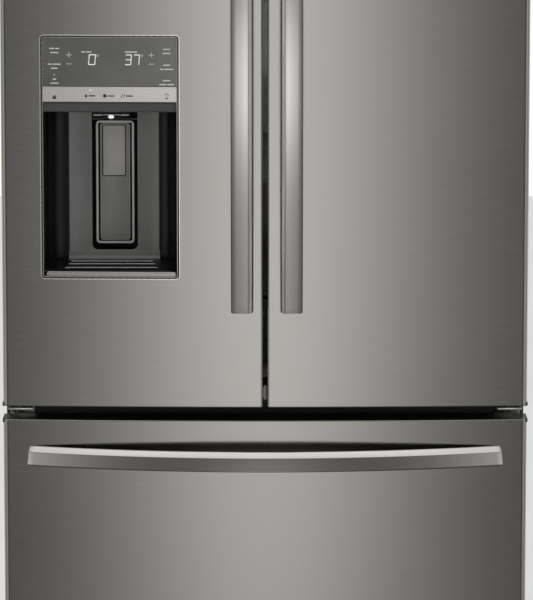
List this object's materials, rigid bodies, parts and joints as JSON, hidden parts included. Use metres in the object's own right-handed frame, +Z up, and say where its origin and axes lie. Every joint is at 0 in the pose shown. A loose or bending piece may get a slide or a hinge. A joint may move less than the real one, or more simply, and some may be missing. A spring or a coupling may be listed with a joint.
{
  "type": "french door refrigerator",
  "caption": "Refrigerator with paired swinging doors above a sliding freezer drawer, with bowed bar handles and an ice and water dispenser in the left door.",
  "frame": {"origin": "on the floor at the centre of the whole box in plan", "axes": "+Z up, the doors and handles face -Y, +X to the right as seen from the front"},
  "size_m": [0.911, 0.8739, 1.78],
  "materials": {
    "door_steel": "satin",
    "handle_steel": "satin",
    "cabinet_paint": "matte",
    "black_plastic": "matte",
    "dispenser_plastic": "gloss",
    "display_panel": "satin",
    "tray_trim": "satin",
    "liner_plastic": "satin",
    "white_plastic": "satin",
    "shelf_trim": "satin",
    "clear_plastic": "gloss",
    "shelf_glass": "gloss",
    "gasket_rubber": "matte",
    "foam": "matte",
    "galvanised": "satin",
    "hinge_steel": "satin",
    "heat_exchanger": "satin",
    "compressor_paint": "satin"
  },
  "bodies": {
    "cabinet": {"cabinet_shell": "cabinet_paint", "rear_panel": "galvanised", "cabinet_foam": "foam", "fresh_food_liner": "liner_plastic", "freezer_liner": "liner_plastic", "base_frame": "galvanised", "toe_grille": "black_plastic", "leveling_legs": "galvanised", "machine_cover": "galvanised", "rear_fittings": "white_plastic", "compressor": "compressor_paint", "condenser": "heat_exchanger", "evaporator": "heat_exchanger", "evaporator_cover": "liner_plastic", "air_duct": "liner_plastic", "shelf_frames": "shelf_trim", "shelf_glass": "shelf_glass", "ice_maker_box": "liner_plastic", "hinge_brackets": "hinge_steel", "hinge_covers": "black_plastic", "freezer_rails": "hinge_steel"},
    "left_door": {"left_door_skin": "door_steel", "left_door_foam": "foam", "left_door_liner": "liner_plastic", "left_door_caps": "black_plastic", "left_door_gasket": "gasket_rubber", "left_door_handle": "handle_steel", "dispenser_housing": "dispenser_plastic", "dispenser_display": "display_panel", "left_door_bins": "clear_plastic"},
    "right_door": {"right_door_skin": "door_steel", "right_door_foam": "foam", "right_door_liner": "liner_plastic", "right_door_caps": "black_plastic", "right_door_gasket": "gasket_rubber", "right_door_handle": "handle_steel", "right_door_bins": "clear_plastic"},
    "freezer_drawer": {"drawer_skin": "door_steel", "drawer_foam": "foam", "drawer_liner": "liner_plastic", "drawer_caps": "black_plastic", "drawer_gasket": "gasket_rubber", "drawer_handle": "handle_steel", "drawer_frame": "hinge_steel", "lower_basket": "white_plastic"},
    "mullion_flap": {"mullion_flap": "black_plastic"},
    "dispenser_paddle": {"dispenser_paddle": "dispenser_plastic"},
    "drip_tray": {"drip_tray": "tray_trim"},
    "chute_flap": {"chute_flap": "black_plastic"},
    "dairy_lid": {"dairy_lid": "clear_plastic"},
    "middle_rails": {"middle_rails": "hinge_steel"},
    "upper_basket": {"upper_basket": "white_plastic"},
    "deli_drawer": {"deli_drawer": "clear_plastic"},
    "left_crisper": {"left_crisper": "clear_plastic"},
    "right_crisper": {"right_crisper": "clear_plastic"},
    "ice_bin": {"ice_bin": "clear_plastic"},
    "ice_auger": {"ice_auger": "hinge_steel"},
    "evaporator_fan": {"evaporator_fan": "black_plastic"},
    "condenser_fan": {"condenser_fan": "black_plastic"},
    "rear_rollers": {"rear_rollers": "black_plastic"}
  },
  "joints": [
    {"name": "left_door_hinge", "type": "hinge", "parent": "cabinet", "child": "left_door", "pos_m": [-0.427, -0.325, 1.23], "axis": [0, 0, -1], "range_deg": [0, 115]},
    {"name": "right_door_hinge", "type": "hinge", "parent": "cabinet", "child": "right_door", "pos_m": [0.427, -0.325, 1.23], "axis": [0, 0, 1], "range_deg": [0, 115]},
    {"name": "mullion_flap_hinge", "type": "hinge", "parent": "left_door", "child": "mullion_flap", "pos_m": [-0.033, -0.271, 1.221], "axis": [0, 0, -1], "range_deg": [0, 90]},
    {"name": "freezer_drawer_slide", "type": "slide", "parent": "cabinet", "child": "freezer_drawer", "axis": [0, -1, 0], "range_m": [0, 0.42]},
    {"name": "middle_rail_slide", "type": "slide", "parent": "cabinet", "child": "middle_rails", "axis": [0, -1, 0], "range_m": [0, 0.21]},
    {"name": "upper_basket_slide", "type": "slide", "parent": "cabinet", "child": "upper_basket", "axis": [0, -1, 0], "range_m": [0, 0.04]},
    {"name": "deli_drawer_slide", "type": "slide", "parent": "cabinet", "child": "deli_drawer", "axis": [0, -1, 0], "range_m": [0, 0.045]},
    {"name": "left_crisper_slide", "type": "slide", "parent": "cabinet", "child": "left_crisper", "axis": [0, -1, 0], "range_m": [0, 0.055]},
    {"name": "right_crisper_slide", "type": "slide", "parent": "cabinet", "child": "right_crisper", "axis": [0, -1, 0], "range_m": [0, 0.055]},
    {"name": "ice_bin_slide", "type": "slide", "parent": "cabinet", "child": "ice_bin", "axis": [0, -1, 0], "range_m": [0, 0.05]},
    {"name": "ice_auger_turn", "type": "hinge", "parent": "ice_bin", "child": "ice_auger", "pos_m": [-0.307, 0.02, 1.542], "axis": [0, 1, 0], "continuous": true},
    {"name": "dispenser_paddle_hinge", "type": "hinge", "parent": "left_door", "child": "dispenser_paddle", "pos_m": [-0.264, -0.258, 1.18], "axis": [1, 0, 0], "range_deg": [0, 3.5], "stiffness_Nm_per_rad": 0.5, "springref_deg": -5.73},
    {"name": "drip_tray_slide", "type": "slide", "parent": "left_door", "child": "drip_tray", "axis": [0, -1, 0], "range_m": [0, 0.08]},
    {"name": "chute_flap_hinge", "type": "hinge", "parent": "left_door", "child": "chute_flap", "pos_m": [-0.265, -0.277, 1.226], "axis": [1, 0, 0], "range_deg": [0, 75], "stiffness_Nm_per_rad": 0.02, "springref_deg": -22.92},
    {"name": "dairy_lid_hinge", "type": "hinge", "parent": "right_door", "child": "dairy_lid", "pos_m": [0.225, -0.283, 1.5995], "axis": [1, 0, 0], "range_deg": [0, 60]},
    {"name": "evaporator_fan_spin", "type": "hinge", "parent": "cabinet", "child": "evaporator_fan", "pos_m": [0, 0.236, 0.575], "axis": [0, 1, 0], "continuous": true},
    {"name": "condenser_fan_spin", "type": "hinge", "parent": "cabinet", "child": "condenser_fan", "pos_m": [0.131, 0.327, 0.146], "axis": [1, 0, 0], "continuous": true},
    {"name": "rear_roller_spin", "type": "hinge", "parent": "cabinet", "child": "rear_rollers", "pos_m": [0, 0.372, 0.022], "axis": [1, 0, 0], "continuous": true}
  ],
  "couplings": [
    {"joint": "middle_rail_slide", "follows": "freezer_drawer_slide", "ratio": 0.5}
  ]
}
